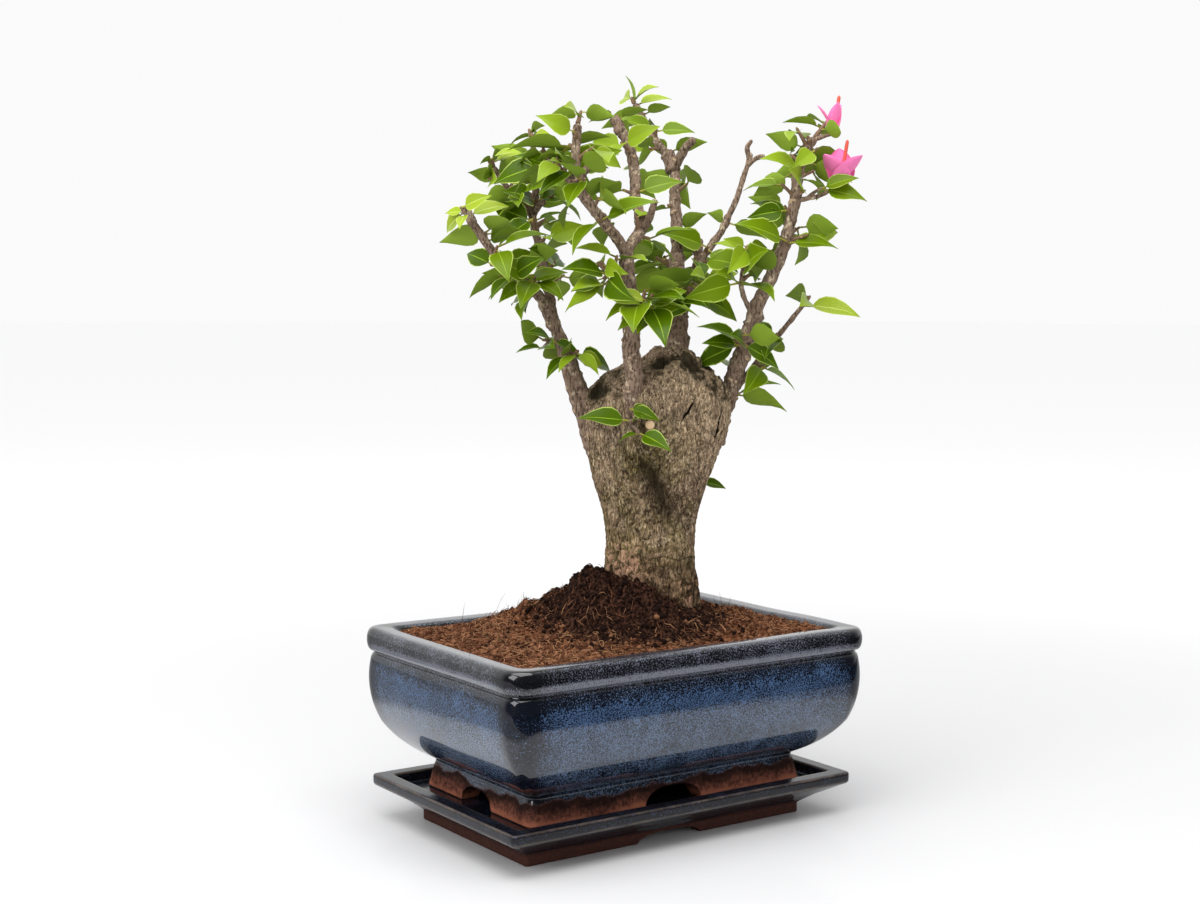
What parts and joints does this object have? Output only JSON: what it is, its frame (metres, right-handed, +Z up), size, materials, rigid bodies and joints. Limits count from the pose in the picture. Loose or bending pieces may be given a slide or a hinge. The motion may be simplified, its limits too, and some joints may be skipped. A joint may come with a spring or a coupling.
{
  "type": "bougainvillea bonsai in a pot",
  "caption": "Bonsai with a stout tapering trunk, leafy upright boughs and pink bracts, in an oblong glazed pot on its drip tray; stands on a table as a decorative plant.",
  "frame": {"origin": "on the table under the middle of the pot's plan, level with the underside of the tray", "axes": "+X along the pot's long side, +Y along its short side away from the front, +Z up"},
  "size_m": [0.25, 0.173, 0.4447],
  "materials": {
    "tray_glaze": "gloss",
    "pot_glaze": "gloss",
    "soil": "matte",
    "trunk_bark": "matte",
    "bough_bark": "matte",
    "leaves": "satin"
  },
  "bodies": {
    "root": {"tray": "tray_glaze", "pot": "pot_glaze", "soil": "soil", "trunk": "trunk_bark", "bough_left": "bough_bark", "bough_front": "bough_bark", "bough_back": "bough_bark", "bough_right": "bough_bark", "foliage_left_low": "leaves", "foliage_left_high": "leaves", "foliage_left_foot": "leaves", "foliage_left_outer": "leaves", "foliage_front_left": "leaves", "foliage_front_top": "leaves", "foliage_front_low_left": "leaves", "foliage_front_low_right": "leaves", "foliage_back_top": "leaves", "foliage_back_low": "leaves", "foliage_back_rear": "leaves", "foliage_back_side": "leaves", "foliage_right_top": "leaves", "foliage_right_inner": "leaves", "foliage_right_foot": "leaves", "foliage_right_low": "leaves", "foliage_trunk_front": "leaves", "foliage_trunk_back": "leaves"}
  },
  "joints": []
}
